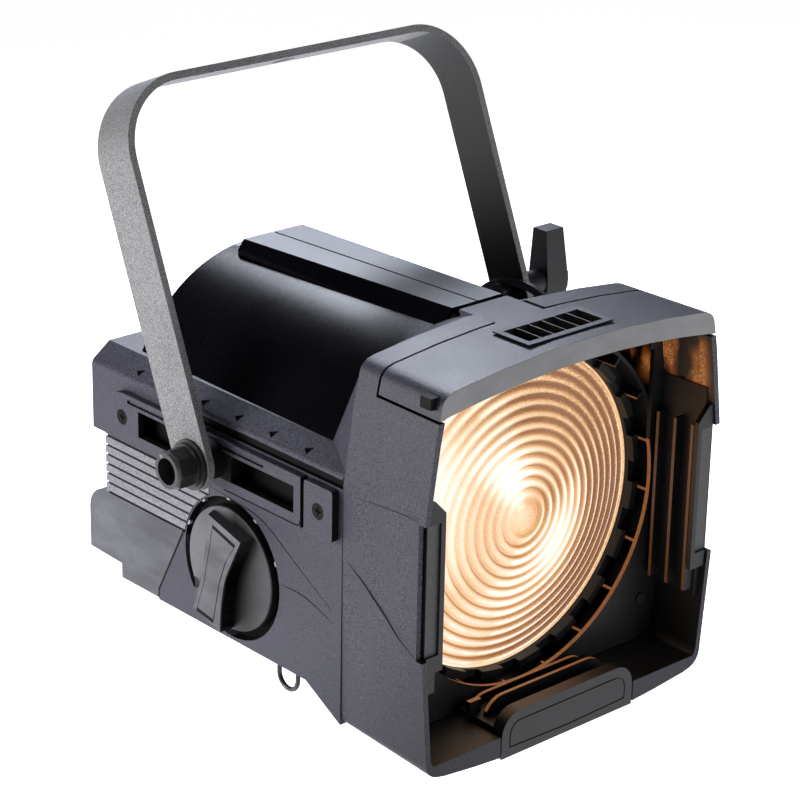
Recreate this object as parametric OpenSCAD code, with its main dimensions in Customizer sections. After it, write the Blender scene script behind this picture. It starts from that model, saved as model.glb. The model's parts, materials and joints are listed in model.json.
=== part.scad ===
// Fresnel spotlight hung from a flat yoke.
// Drawn in an optical frame: X to the right seen from the front, Y backwards from the front
// opening, Z up, zero on the lens axis in the plane of the front opening. placed() then moves
// every sub-part so that zero is the centre of the yoke's hanging hole.

/* [Housing] */
// Half width of the body between its flat sides
body_half_w = 104; // [103:0.5:105]
// Height of the body's side walls above the lens axis
side_top_z = 43; // [42:0.5:44]
// Height of the body's flat deck above the lens axis
deck_z = 52; // [51:0.5:53]
// Half width of the deck between its sloping shoulders
deck_half_w = 92; // [91:0.5:93]
// Depth of the body's flat underside below the lens axis
belly_z = 80; // [80:0.5:81]
// Distance from the front opening to the body's rear face
body_rear_y = 271; // [270:0.5:273]
// Wall thickness of the castings
wall = 3; // [2.6:0.1:3.2]

/* [Hood] */
// Depth of the hood from its front opening to the start of its rear slope
hood_depth = 61; // [60:0.5:62]
// Half width of the hood's top corners
hood_top_half_w = 95; // [94:0.5:96]
// Height of the hood's top corners above the lens axis
hood_top_z = 102; // [101:0.5:103]
// Rise of the arched top above its corners
hood_rise = 7; // [6:0.5:8]
// Half width of the hood at its waist
hood_half_w = 105; // [104.5:0.5:106]
// Depth of the hood's front bottom edge below the lens axis
hood_bottom_z = 109.5; // [109:0.5:110]
// Depth of the lid from the front opening to its rear seam
lid_depth = 45; // [44:0.5:46]

/* [Lens] */
// Radius of the lens
lens_r = 88.5; // [88:0.1:88.9]
// Distance from the front opening to the lens rim
lens_y = 50; // [49.5:0.1:50.5]
// Thickness of the lens at its rim
lens_t = 9; // [8:0.5:9.2]
// Height of the lens's crown above its rim
lens_crown = 14.4; // [12:0.2:14.6]
// Number of prism rings on the lens
lens_rings = 14; // [12:1:16]

/* [Yoke] */
// Distance of the tilt axis behind the front opening
pivot_y = 159; // [157:0.5:161]
// Height of the tilt axis above the lens axis
pivot_z = 23; // [22.8:0.1:23.2]
// Distance from the tilt axis to the yoke's outer top face
yoke_r = 198; // [196:0.5:200]
// Half width over the yoke's outer faces
yoke_half_w = 122.7; // [122:0.1:123.5]
// Thickness of the yoke's strip
yoke_t = 4.2; // [4:0.1:4.5]
// Width of the yoke's strip
yoke_w = 29; // [28:0.5:30]
// Backward lean of the yoke from upright
yoke_lean = 22.6; // [20:0.1:24]
// Radius of the hanging hole
hang_hole_r = 6.5; // [6.5:0.1:6.6]
// Distance of the tilt lock's bolt from the tilt axis
lock_r = 41.2; // [41:0.1:41.5]

/* [Focus drive] */
// Distance of the focus knob's axis behind the front opening
knob_y = 149.5; // [149:0.5:150]
// Depth of the focus knob's axis below the lens axis
knob_z = 38.5; // [38.3:0.1:38.8]
// Radius of the focus knob's disc
knob_r = 34.4; // [34:0.1:35]
// Module of the focus rack and pinion
gear_module = 1.25; // [1.25:0.01:1.26]
// Teeth on the focus pinion
pinion_teeth = 18; // [18:1:18]

/* [Hidden] */
$fn = 48;
slab = 0.2;
hang_y = pivot_y + yoke_r * sin(yoke_lean);
hang_z = pivot_z + yoke_r * cos(yoke_lean);
// hood
hood_rear_taper = [1.5, 1, 15];
hood_wall = 3.1;
lid_split_z = 89.5;
lid_gap = 1.4;
collar_y = 83;
shelf_z = 96;
notch_top_z = 37;
notch_low_z = -36;
holder_half_w = 48;
tongue_half_w = 17;
hinge_y = 69.5;
hinge_z = 102.4;
hinge_pin_r = 1.5;
knuckle_r = 3;
leaf_top_z = 107.9;
leaf_t = 2;
// cover
cover_rear_y = 257;
cover_rear_lean = 14;
cover_r = 110.8;
cover_cz = -9.7;
cover_wall = 2.5;
ridge_front_y = 77.6;
ridge_rear_y = 242;
ridge_top_front_z = 107.5;
ridge_top_rear_z = 103;
ridge_half_w = 17.5;
ridge_foot_half_w = 25;
ridge_slope = atan((ridge_top_front_z - ridge_top_rear_z) / (ridge_rear_y - ridge_front_y));
// rail plates and their tracks
rail_x = body_half_w + 0.1;
rail_t = 4.4;
rail_y0 = 64;
rail_y1 = 252;
rail_h = 28;
rail_z = 21;
slot_y0 = 94;
slot_y1 = 223.5;
slot_h = 14.5;
track_depth = 7;
rail_screw_y = [75, 238];
// lower rear box and ribbed panels
rib_y0 = 191;
rib_front_y = 168;
rib_arc_r = knob_r + 5.9;
rib_y1 = 260;
rib_top_z = 3.6;
rib_low_z = -30;
ribs = 6;
box_rear_y = 276;
box_step_y = 247;
// lens seat
bulkhead_y = 34.5;
bulkhead_rear_y = hood_depth + 0.2;
lens_hole_r = 91.5;
webs = 20;
// yoke hardware
pivot_bolt_r = 4;
running_gap = 0.05;
block_len = 30;
lock_bolt_r = 3;
quadrant_r = lock_r + 8;
quadrant_x = 112.2;
quadrant_t = 3;
yoke_inner_x = yoke_half_w - yoke_t;
corner_r = 40;
leg_top = yoke_r - corner_r;
lock_y = pivot_y + lock_r * sin(yoke_lean);
lock_z = pivot_z + lock_r * cos(yoke_lean);
// focus drive
pinion_r = gear_module * pinion_teeth / 2;
rack_pitch = PI * gear_module;
backlash = 0.24;
pinion_x = -92;
pinion_w = 8;
rack_teeth = 23;
rod_x = 50;
rod_z = -66;
rod_r = 4;
rod_y0 = 92;
rod_y1 = 242.5;
carriage_z = -knob_z - pinion_r - 1.25 * gear_module - 3;
carriage_y1 = 200;
lamp_y = 168;

// ---------- helpers ----------

module placed() { translate([0, -hang_y, -hang_z]) children(); }

// A (y, z) outline carried along X
module side_prism(x0, x1) {
    translate([x0, 0, 0]) rotate([90, 0, 90]) linear_extrude(x1 - x0) children();
}

// An (x, z) outline carried along Y
module cross_prism(y0, y1) {
    translate([0, y1, 0]) rotate([90, 0, 0]) linear_extrude(y1 - y0) children();
}

module rod_x(x0, x1, y, z, r) { translate([x0, y, z]) rotate([0, 90, 0]) cylinder(h = x1 - x0, r = r); }

module cone_x(x, h, y, z, r1, r2) {
    translate([x, y, z]) rotate([0, 90, 0]) cylinder(h = h, r1 = r1, r2 = r2);
}

// Prism along X with a regular outline, such as a nut
module nut_x(x, h, y, z, r, sides) {
    translate([x, y, z]) rotate([0, 90, 0]) cylinder(h = h, r = r, $fn = sides);
}

module rod_y(y0, y1, x, z, r) { translate([x, y1, z]) rotate([90, 0, 0]) cylinder(h = y1 - y0, r = r); }

module box(x0, x1, y0, y1, z0, z1) { translate([x0, y0, z0]) cube([x1 - x0, y1 - y0, z1 - z0]); }

// side is 1 on the right, seen from the front, and -1 on the left
module on_side(side) {
    if (side < 0) mirror([1, 0, 0]) children();
    else children();
}

module both_sides() {
    children();
    mirror([1, 0, 0]) children();
}

module rounded_rect(w, h, r) {
    square([w - 2 * r, h], center = true);
    square([w, h - 2 * r], center = true);
    for (sx = [-1, 1], sy = [-1, 1]) translate([sx * (w / 2 - r), sy * (h / 2 - r)]) circle(r, $fn = 24);
}

function arc(cx, cz, r, a0, a1, n) = [for (i = [0 : n]) let (a = a0 + (a1 - a0) * i / n)
    [cx + r * cos(a), cz + r * sin(a)]];

function mix(a, b, t) = a + (b - a) * t;

// ---------- hood outline ----------

// Half outline of the hood at a depth share t, from the top centre round to the bottom centre
function hood_half(t, inset) =
    let (tw = hood_top_half_w - hood_rear_taper[0] * t - inset,
         ww = hood_half_w - hood_rear_taper[1] * t - inset,
         tz = hood_top_z - inset,
         bz = -hood_bottom_z + hood_rear_taper[2] * t + inset,
         rise = hood_rise,
         rt = 8,
         // the bottom corners get sharper towards the body
         rb = mix(9.5, 3.5, t),
         corner_x = ww - mix(14, 4.2, t),
         corner_z = bz + mix(16, 4.4, t))
    concat(
        [for (i = [0 : 6]) let (x = (tw - rt) * i / 6) [x, tz + rise - rise * pow(x / tw, 2)]],
        arc(tw - rt + 1, tz - rt + 0.6, rt, 70, 10, 4),
        [[tw + 4, tz - 21], [ww, 38], [ww, -36]],
        arc(corner_x, corner_z, rb, -5, -76, 5),
        [for (i = [4 : -1 : 0]) let (x = (ww - 17) * i / 4) [x, bz + 6.5 * pow(x / 95, 2)]]
    );

function mirrored(half) = concat(half, [for (i = [len(half) - 2 : -1 : 1]) [-half[i][0], half[i][1]]]);

module hood_slab(y, t, inset) { cross_prism(y, y + slab) polygon(mirrored(hood_half(t, inset))); }

// The hood's solid form between its front plane and a depth y1
module hood_form(y1, inset, over) {
    hull() {
        hood_slab(-over, 0, inset);
        hood_slab(y1 + over - slab, y1 / hood_depth, inset);
    }
}

// The cover's section where the hood's collar meets it
module cover_outline(inset) {
    intersection() {
        translate([0, cover_cz]) circle(cover_r - inset, $fn = 180);
        translate([-deck_half_w + inset, deck_z + 0.2]) square([2 * (deck_half_w - inset), 80]);
    }
}

// Drum that the cover's shell follows, sloping down to the rear as the spine does
module cover_drum(inset) {
    translate([0, collar_y, cover_cz]) rotate([-90 - ridge_slope, 0, 0]) translate([0, 0, -30])
        cylinder(h = 260, r = cover_r - inset, $fn = 180);
}

// Space ahead of the cover's leaning rear face, less a depth
module ahead_of_rear(inset) {
    translate([-130, cover_rear_y - inset, 98]) rotate([-cover_rear_lean, 0, 0]) translate([0, -300, -150])
        cube([260, 300, 300]);
}

module both_outline() {
    children();
    mirror([1, 0]) children();
}

// The body's deck and shoulders, kept clear by what sits on them
module shoulder_outline(gap) {
    polygon([[-body_half_w - gap, 0], [body_half_w + gap, 0], [body_half_w + gap, side_top_z + gap],
        [deck_half_w + gap, deck_z + gap], [-deck_half_w - gap, deck_z + gap],
        [-body_half_w - gap, side_top_z + gap]]);
}

// ---------- housing ----------

module front_hood() {
    color("dimgray") difference() {
        union() {
            difference() {
                hood_form(hood_depth, 0, 0);
                hood_form(hood_depth, hood_wall, 1);
            }
            hood_collar();
            intersection() {
                hood_form(hood_depth, 1, 0);
                union() {
                    box(-101, 101, 0, 34, -shelf_z - 2.4, -shelf_z);
                    box(-101, 101, 0, 3, -hood_bottom_z, -shelf_z);
                }
            }
        }
        // seat of the lid
        box(-110, 110, -1, lid_depth + lid_gap, lid_split_z - lid_gap, 130);
        box(-tongue_half_w - 0.8, tongue_half_w + 0.8, 40, 80, 93, 130);
        // seat of the accessory holder
        box(-holder_half_w - 0.8, holder_half_w + 0.8, -1, 34.2, -130, -shelf_z + 4);
        // accessory notches in both side walls
        both_sides() box(98, 110, -1, 4.5, notch_low_z, notch_top_z);
    }
}

// Sloping rear of the hood, down to the cover and the body's shoulders
module hood_collar() {
    difference() {
        hull() {
            intersection() {
                hood_slab(hood_depth - 1, 1, 0.2);
                box(-110, 110, 0, 200, side_top_z, 130);
            }
            cross_prism(collar_y - slab, collar_y) cover_outline(0);
        }
        hull() {
            intersection() {
                hood_slab(hood_depth - 1.2, 1, wall + 0.2);
                box(-110, 110, 0, 200, side_top_z - 1, 130);
            }
            cross_prism(collar_y, collar_y + slab) cover_outline(cover_wall);
        }
        cross_prism(hood_depth - 0.4, collar_y + 1) shoulder_outline(0.2);
        // mouth for the front of the cover's spine
        box(-ridge_foot_half_w - 0.3, ridge_foot_half_w + 0.3, ridge_front_y - 0.3, collar_y + 1, 90, 130);
    }
}

module body_side_outline() {
    polygon([[hood_depth + 0.3, -95], [89, -belly_z], [213.3, -belly_z], [213.3, -74],
        [rib_y0 - 0.4, rib_low_z - 1], [rib_y1, rib_low_z - 1], [rib_y1, 4],
        [body_rear_y, 4], [body_rear_y, 60], [hood_depth + 0.3, 60]]);
}

module body_cross_outline(inset) {
    polygon([[-body_half_w + inset, -100], [body_half_w - inset, -100],
        [body_half_w - inset, side_top_z - inset / 3], [deck_half_w - inset / 2, deck_z - inset],
        [-deck_half_w + inset / 2, deck_z - inset], [-body_half_w + inset, side_top_z - inset / 3]]);
}

module body_form() {
    intersection() {
        cross_prism(hood_depth, body_rear_y) body_cross_outline(0);
        side_prism(-110, 110) body_side_outline();
    }
}

module main_housing() {
    color("dimgray") difference() {
        union() {
            difference() {
                body_form();
                intersection() {
                    cross_prism(hood_depth - 1, body_rear_y + 1) body_cross_outline(wall);
                    side_prism(-110, 110) hollow_side_outline();
                }
            }
            // tracks for the slide blocks
            intersection() {
                body_form();
                both_sides() box(body_half_w - 10, body_half_w, 68, 244, rib_top_z, side_top_z + 2);
            }
            // cup of the focus knob
            rod_x(-body_half_w, -body_half_w + 9, knob_y, -knob_z, knob_r + 7);
        }
        // opening under the cover
        box(-84, 84, 50, 236, deck_z - 8, deck_z + 1);
        both_sides() box(body_half_w - track_depth, body_half_w + 1, 92, 226, rail_z - 13, rail_z + 13);
        both_sides() box(body_half_w - 2.6, body_half_w + 1, 60, 190, 36.2, 41);
        both_sides() difference() {
            box(body_half_w - wall - 0.1, body_half_w + 1, rib_front_y, rib_y1 + 1,
                rib_low_z - 2, rib_top_z);
            rod_x(90, 110, knob_y, -knob_z, rib_arc_r);
        }
        both_sides() for (y = rail_screw_y) rod_x(body_half_w - 9, body_half_w + 1, y, rail_z, 1.6);
        rod_x(-body_half_w - 1, -body_half_w + 6, knob_y, -knob_z, knob_r + 5.1);
        rod_x(-body_half_w, -body_half_w + 10, knob_y, -knob_z, 6 + running_gap);
        shoulder_notches();
        for (y = [104, 119]) translate([-100, y - 4.5, -belly_z - 1]) cylinder(h = 8, r = 1.4);
    }
}

// The hollow of the body in side view, open to the hood, the lower box and the rear cover
module hollow_side_outline() {
    polygon([[hood_depth - 5, -95 + wall], [88.2, -belly_z + wall], [215, -belly_z + wall],
        [215, -70], [194, rib_low_z - 2], [rib_y1 + 1, rib_low_z - 2], [rib_y1 + 1, 3.9],
        [body_rear_y + 1, 3.9], [body_rear_y + 1, 60], [hood_depth - 5, 60]]);
}

// Small three-cornered notches along both shoulders
module shoulder_notches() {
    slope = atan((deck_z - side_top_z) / (body_half_w - deck_half_w));
    both_sides() for (i = [0 : 5]) translate([body_half_w, 91.8 + 28 * i, side_top_z]) rotate([0, slope, 0])
        translate([0, 0, -1.2]) linear_extrude(3) polygon([[-2.7, 0], [-8, -1.6], [-5.2, 4]]);
}

module top_cover() {
    color([0.07, 0.07, 0.08]) difference() {
        union() {
            intersection() {
                cover_drum(0);
                ahead_of_rear(0);
                box(-deck_half_w, deck_half_w, collar_y + 0.3, 300, deck_z + 0.2, 130);
            }
            ridge();
        }
        intersection() {
            cover_drum(cover_wall);
            ahead_of_rear(cover_wall);
            box(-deck_half_w + cover_wall, deck_half_w - cover_wall, collar_y - 1, 300, deck_z - 5, 130);
        }
        intersection() {
            translate([0, 0, -2.8]) ridge();
            box(-60, 60, 70, ridge_rear_y - cover_wall, 90, 120);
        }
        groove();
    }
}

// Narrow groove along the middle of the spine
module groove() {
    translate([-0.6, ridge_front_y - 2, ridge_top_front_z - 1.1]) rotate([-ridge_slope, 0, 0])
        cube([1.2, 200, 9]);
}

// The cover's raised spine, whose top slopes down to the rear
module ridge() {
    difference() {
        cross_prism(ridge_front_y, ridge_rear_y) polygon([[-ridge_foot_half_w, 94],
            [-ridge_foot_half_w, 97.5], [-ridge_half_w, ridge_top_front_z],
            [ridge_half_w, ridge_top_front_z], [ridge_foot_half_w, 97.5], [ridge_foot_half_w, 94]]);
        translate([-60, ridge_front_y, ridge_top_front_z]) rotate([-ridge_slope, 0, 0]) cube([120, 200, 20]);
    }
}

module burner_box_outline(inset) {
    polygon(concat(
        [[rib_y0 + 0.4, rib_low_z - 1.4 - inset], [260, rib_low_z - 1.4 - inset]],
        arc(box_rear_y - inset - 14, rib_low_z - 1.4 - inset - 14, 14, 80, 0, 6),
        [[box_rear_y - inset, -69.5 + inset], [box_step_y - inset, -70.5 + inset],
        [box_step_y - inset, -79 + inset], [213.8, -79 + inset], [213.8, -74]]));
}

module burner_housing() {
    color("gray") difference() {
        side_prism(-body_half_w, body_half_w) burner_box_outline(0);
        side_prism(-body_half_w + wall, body_half_w - wall) intersection() {
            union() {
                burner_box_outline(wall);
                translate([180, -76]) square([64, 60]);
                translate([243.9, -67.5]) square([13, 60]);
            }
            translate([170, -76]) square([103, 60]);
        }
        box(-90, 90, 170, 257, -40, -20);
    }
}

module rear_cover() {
    color("dimgray") difference() {
        intersection() {
            side_prism(-110, 110) polygon([[268, 60], [body_rear_y, 60], [body_rear_y, 4.2],
                [rib_y1, 4.2], [rib_y1, -31], [257, -31], [257, 7], [268, 7]]);
            cross_prism(250, 280) body_cross_outline(wall + 0.4);
        }
        for (i = [-4 : 4], z = [16, 32]) box(i * 16 - 5.5, i * 16 + 5.5, 266, 273, z, z + 8);
        for (x = [-94, 94]) rod_y(267, 272, x, 27, 1.7);
        for (x = [-94, 94]) rod_y(256, 262, x, -22, 1.7);
        rod_y(256, 261, 55, -14, 8);
    }
}

// Ribbed panel that ends round the focus knob's cup
module rib_panel() {
    color("gray") difference() {
        union() {
            box(body_half_w - wall, body_half_w - 1.7, rib_front_y + 0.2, rib_y1,
                rib_low_z - 0.8, rib_top_z - 0.2);
            for (i = [0 : ribs - 1])
                box(body_half_w - 1.8, body_half_w + 0.2, rib_front_y + 0.2, rib_y1 - 0.4,
                    rib_low_z + i * 5.55 + 0.2, rib_low_z + i * 5.55 + 4.4);
        }
        rod_x(90, 110, knob_y, -knob_z, rib_arc_r + 0.2);
    }
}

module rail_plate() {
    r = rail_h / 2;
    color("gray") difference() {
        union() {
            side_prism(rail_x, rail_x + rail_t) {
                translate([88.5, rail_z - r]) square([rail_y1 - r - 88.5, rail_h]);
                translate([rail_y1 - r, rail_z]) circle(r);
            }
            side_prism(rail_x, rail_x + rail_t) translate([rail_y0 + 11, rail_z]) rounded_rect(22, rail_h, 2);
            box(rail_x, rail_x + 2, 80, 95, rail_z - 12, rail_z + 12);
        }
        box(rail_x - 1, rail_x + 10, slot_y0, slot_y1, rail_z - slot_h / 2, rail_z + slot_h / 2);
        box(rail_x + 2.9, rail_x + 10, 118, 233, rail_z + 9.4, rail_z + 11.2);
        for (y = rail_screw_y) {
            rod_x(rail_x - 1, rail_x + 10, y, rail_z, 2);
            cone_x(rail_x + rail_t - 2.4, 2.5, y, rail_z, 2, 4.5);
        }
    }
}

module rail_screws() {
    color("black") both_sides() for (y = rail_screw_y) difference() {
        union() {
            rod_x(rail_x - 8, rail_x + rail_t - 2, y, rail_z, 1.6);
            cone_x(rail_x + rail_t - 2.4, 2.2, y, rail_z, 1.9, 4.2);
        }
        cross_recess(rail_x + rail_t - 1.2, y, rail_z);
    }
}

// Cross recess of a screw whose head faces +X
module cross_recess(x, y, z) {
    box(x, x + 2, y - 2.2, y + 2.2, z - 0.45, z + 0.45);
    box(x, x + 2, y - 0.45, y + 0.45, z - 2.2, z + 2.2);
}

module rear_cover_screws() {
    color("black") for (x = [-94, 94], p = [[27, body_rear_y], [-22, rib_y1]]) difference() {
        union() {
            rod_y(p[1] - 8, p[1] + 0.1, x, p[0], 1.6);
            rod_y(p[1] + 0.1, p[1] + 2.4, x, p[0], 3.4);
        }
        box(x - 2, x + 2, p[1] + 1.4, p[1] + 3, p[0] - 0.4, p[0] + 0.4);
        box(x - 0.4, x + 0.4, p[1] + 1.4, p[1] + 3, p[0] - 2, p[0] + 2);
    }
}

module cable_gland() {
    color([0.1, 0.1, 0.1]) difference() {
        union() {
            rod_y(250, 262, 55, -14, 7.9);
            translate([55, 266, -14]) rotate([90, 0, 0]) cylinder(h = 5.8, r = 12, $fn = 6);
            rod_y(265.9, 273, 55, -14, 8.5);
        }
        rod_y(249, 274, 55, -14, 4.5);
    }
}

module wire_loop() {
    color("silver") union() {
        for (y = [99.5, 114.5]) translate([-100, y, -86]) cylinder(h = 11, r = 1.35);
        intersection() {
            translate([-100, 107, -86]) rotate([0, 90, 0]) rotate_extrude() translate([7.5, 0]) circle(1.35);
            box(-110, -90, 80, 130, -100, -86);
        }
    }
}

// Bracket under the hood's rear slope whose lug holds the middle of the lid's hinge pin
module hinge_bracket() {
    color("dimgray") difference() {
        union() {
            rod_x(-4.4, 4.4, hinge_y, hinge_z, knuckle_r);
            box(-4.4, 4.4, hinge_y - knuckle_r, hinge_y + knuckle_r, hinge_z - 11, hinge_z);
            box(-30, 30, hinge_y - 6, hinge_y + 5, hinge_z - 13, hinge_z - 10.5);
        }
        rod_x(-5, 5, hinge_y, hinge_z, hinge_pin_r);
    }
}

module lid_hinge_pin() {
    color("silver") rod_x(-tongue_half_w, tongue_half_w, hinge_y, hinge_z, hinge_pin_r);
}

// ---------- optics ----------

module lens_bulkhead() {
    color([0.12, 0.12, 0.13]) difference() {
        union() {
            difference() {
                intersection() {
                    hood_form(hood_depth, hood_wall + 0.2, 0);
                    box(-110, 110, bulkhead_y, bulkhead_y + 2.5, -shelf_z + 0.2, 88);
                }
                cross_prism(bulkhead_y - 1, bulkhead_y + 4) bulkhead_opening();
            }
            difference() {
                rod_y(bulkhead_y + 2.4, bulkhead_rear_y, 0, 0, 99.5);
                rod_y(bulkhead_y, 63, 0, 0, 97.5);
                box(-110, 110, 30, 64, 88, 110);
                box(-110, 110, 30, 64, -110, -shelf_z + 0.2);
            }
            difference() {
                rod_y(lens_y - 0.2, bulkhead_rear_y, 0, 0, 98);
                rod_y(lens_y - 1, 63, 0, 0, lens_r + 0.3);
                box(-110, 110, 30, 64, 88, 110);
            }
            for (i = [0 : webs - 1]) rotate([0, i * 360 / webs + 6, 0])
                box(lens_hole_r + 0.8, 98, bulkhead_y + 2.4, lens_y, -0.75, 0.75);
            // lip behind the lens
            difference() {
                rod_y(lens_y + lens_t + 0.5, bulkhead_rear_y, 0, 0, 97);
                rod_y(lens_y, 63, 0, 0, 84);
                box(-110, 110, 30, 64, 88, 110);
            }
        }
        for (x = [-88, 88], z = [-72, 76]) rod_y(30, 40, x, z, 1.5);
        box(-110, 110, 30, 64, 88, 110);
        // clear of the hood's rising floor
        box(-110, 110, 36, 64, -110, -95.4);
        box(-110, 110, 40, 64, -110, -89.6);
    }
}

module bulkhead_opening() {
    circle(lens_hole_r);
    translate([-89, 20]) square([178, 80]);
}

module bulkhead_screws() {
    color("black") for (x = [-88, 88], z = [-72, 76]) {
        rod_y(bulkhead_y - 1.6, bulkhead_y, x, z, 3);
        rod_y(bulkhead_y - 0.1, bulkhead_y + 6, x, z, 1.5);
    }
}

module lens_retainer() {
    color([0.08, 0.08, 0.08]) difference() {
        rod_y(lens_y - 7, lens_y - 0.4, 0, 0, lens_hole_r);
        rod_y(lens_y - 8, lens_y + 1, 0, 0, lens_r - 1.5);
        for (i = [0 : webs - 1]) rotate([0, i * 360 / webs, 0])
            box(80, 100, lens_y - 8, lens_y - 3, -6, 6);
    }
}

// Place of the lens's crowned front at radius r, behind the plane of its rim
function lens_front(r) = 0.4 - lens_crown * (1 - pow(r / lens_r, 2));

module fresnel_lens() {
    hub_r = 5;
    pitch = (lens_r - hub_r) / lens_rings;
    step = 2.2;
    color([1, 0.8, 0.5]) translate([0, lens_y, 0]) rotate([-90, 0, 0]) rotate_extrude($fn = 96)
        polygon(concat(
            [[0, lens_t], [0, lens_front(0)]],
            [for (i = [0 : lens_rings - 1], k = [0, 1]) let (r = hub_r + pitch * (i + 0.75 * k))
                [r, lens_front(r) + step * k]],
            [[lens_r, lens_front(lens_r)], [lens_r, lens_t]]));
}

module lens_gasket() {
    color("black") difference() {
        rod_y(lens_y + lens_t + 0.05, lens_y + lens_t + 0.45, 0, 0, lens_r - 0.2);
        rod_y(lens_y, lens_y + 20, 0, 0, 85);
    }
}

// Guide column inside a hood wall: fins that leave two accessory channels
module accessory_guide() {
    color([0.12, 0.12, 0.13]) difference() {
        union() {
            box(97.2, 101, 4.1, bulkhead_y - 0.3, -62, 58);
            for (y = [5.6, 17.8, 30]) box(91, 97.5, y, y + 2, -58, 38);
            cross_prism(1.2, 4.2) polygon([[101, -44], [90, -44], [90, 40.5], [97.2, 48], [101, 50]]);
        }
        // recessed face behind the notch in the hood's edge
        box(93, 102, 0, 2.6, notch_low_z + 1, notch_top_z - 1);
        intersection() {
            hood_form(hood_depth, 0, 0);
            difference() {
                box(90, 120, -1, 61, -100, 100);
                hood_form(hood_depth, hood_wall + 0.1, 1);
                box(90, 101.3, -1, 4.3, notch_low_z, notch_top_z);
            }
        }
    }
}

module holder_outline(w, top_z, r) {
    polygon(concat(arc(w - r, top_z - r, r, 0, 90, 6), arc(r - w, top_z - r, r, 90, 180, 6),
        [[-w, -109.4], [0, -110.6], [w, -109.4]]));
}

// Stepped holder at the bottom of the opening, which carries the lower edge of an accessory
module accessory_holder() {
    color([0.16, 0.16, 0.17]) difference() {
        union() {
            cross_prism(0, 7.4) holder_outline(holder_half_w, -84, 13);
            cross_prism(17.4, 19.4) holder_outline(holder_half_w - 4, -84, 13);
            cross_prism(30, 32) holder_outline(holder_half_w - 4, -88, 13);
            intersection() {
                cross_prism(0, 34) holder_outline(holder_half_w, -84, 13);
                box(-60, 60, 0, 34, -120, -shelf_z + 3);
            }
            box(-holder_half_w, -holder_half_w + 8, 24, 27, -96, -86);
        }
        // underside follows the hood
        translate([-60, -1, -hood_bottom_z - 20.6]) rotate([14, 0, 0]) cube([120, 60, 20]);
        cross_prism(3, 6) offset(delta = -5) holder_outline(holder_half_w, -84, 13);
        cross_prism(-1, 0.6) difference() {
            offset(delta = -5.5) holder_outline(holder_half_w, -84, 13);
            offset(delta = -6.3) holder_outline(holder_half_w, -84, 13);
        }
    }
}

// ---------- lid ----------

module accessory_lid() {
    color("gray") difference() {
        union() {
            intersection() {
                difference() {
                    hood_form(hood_depth, 0, 0);
                    hood_form(hood_depth, hood_wall, 1);
                }
                box(-110, 110, 0, lid_depth, lid_split_z, 130);
            }
            lid_front_band();
        }
        box(-27.5, 27.5, 12, 33, 95, 130);
        // window of the latch
        box(-110, -88, 4.3, 12.5, 93.9, 100.1);
        // seat of the hinge leaf
        box(-tongue_half_w - 0.05, tongue_half_w + 0.05, lid_depth - 12, lid_depth + 1,
            95, leaf_top_z + 0.01);
    }
}

module lid_front_band() {
    intersection() {
        hood_form(4, 0, 0);
        cross_prism(0, 4) difference() {
            translate([-110, 80]) square([220, 50]);
            polygon(concat([[-110, 70], [110, 70], [110, lid_split_z]],
                [for (i = [8 : -1 : -8]) let (x = 97 * i / 8) [x, lid_split_z + 8 * (1 - pow(x / 97, 2))]],
                [[-110, lid_split_z]]));
        }
        box(-110, 110, 0, 4, lid_split_z, 130);
    }
}

// Tongue behind the lid, with the hinge knuckles under its end
module lid_hinge_leaf() {
    color("gray") difference() {
        union() {
            box(-tongue_half_w, tongue_half_w, lid_depth - 11.9, hinge_y + 4,
                leaf_top_z - leaf_t, leaf_top_z);
            both_sides() {
                rod_x(tongue_half_w - 12, tongue_half_w, hinge_y, hinge_z, knuckle_r);
                box(tongue_half_w - 12, tongue_half_w, hinge_y - knuckle_r, hinge_y + knuckle_r,
                    hinge_z, leaf_top_z - leaf_t + 0.5);
            }
        }
        rod_x(-30, 30, hinge_y, hinge_z, hinge_pin_r + running_gap);
    }
}

module lid_grille() {
    color([0.1, 0.1, 0.1]) difference() {
        union() {
            box(-30, 30, 9.5, 35.5, 109.02, 109.9);
            box(-27.2, 27.2, 12.3, 32.7, 104.5, 109.1);
        }
        for (i = [0 : 5]) translate([-26 + i * 8.8, 13.5, 100]) cube([8, 18, 20]);
    }
}

module lid_latch() {
    color("black") union() {
        box(-99, -91, 4.5, 12.3, 94, 100);
        box(-91.9, -90.5, 4.5, 12.3, 90, 95.5);
    }
}

module latch_spring() {
    color("silver") rod_x(-90.4, -87, 8.4, 93, 1.6);
}

// Plate inside the lid that backs the latch's spring
module latch_seat() {
    color("gray") intersection() {
        box(-84.2, -82.5, 4.2, 12.3, 90.5, 110);
        hood_form(hood_depth, hood_wall + 0.1, 1);
    }
}

// ---------- yoke and tilt hardware ----------

module yoke() {
    color("slategray") difference() {
        translate([0, pivot_y, pivot_z]) rotate([-yoke_lean, 0, 0]) difference() {
            union() {
                translate([0, yoke_w / 2, 0]) rotate([90, 0, 0]) linear_extrude(yoke_w) difference() {
                    yoke_outline(0, corner_r);
                    yoke_outline(yoke_t, corner_r - yoke_t);
                }
                both_sides() side_prism(yoke_inner_x, yoke_half_w) {
                    circle(yoke_w / 2);
                    translate([-yoke_w / 2, 0]) square([yoke_w, leg_top]);
                }
            }
            rod_x(-200, 200, 0, 0, pivot_bolt_r + running_gap);
            rod_x(0, 200, 0, lock_r, lock_bolt_r + running_gap);
            translate([0, 0, yoke_r - yoke_t - 1]) cylinder(h = yoke_t + 2, r = hang_hole_r);
        }
    }
}

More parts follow.
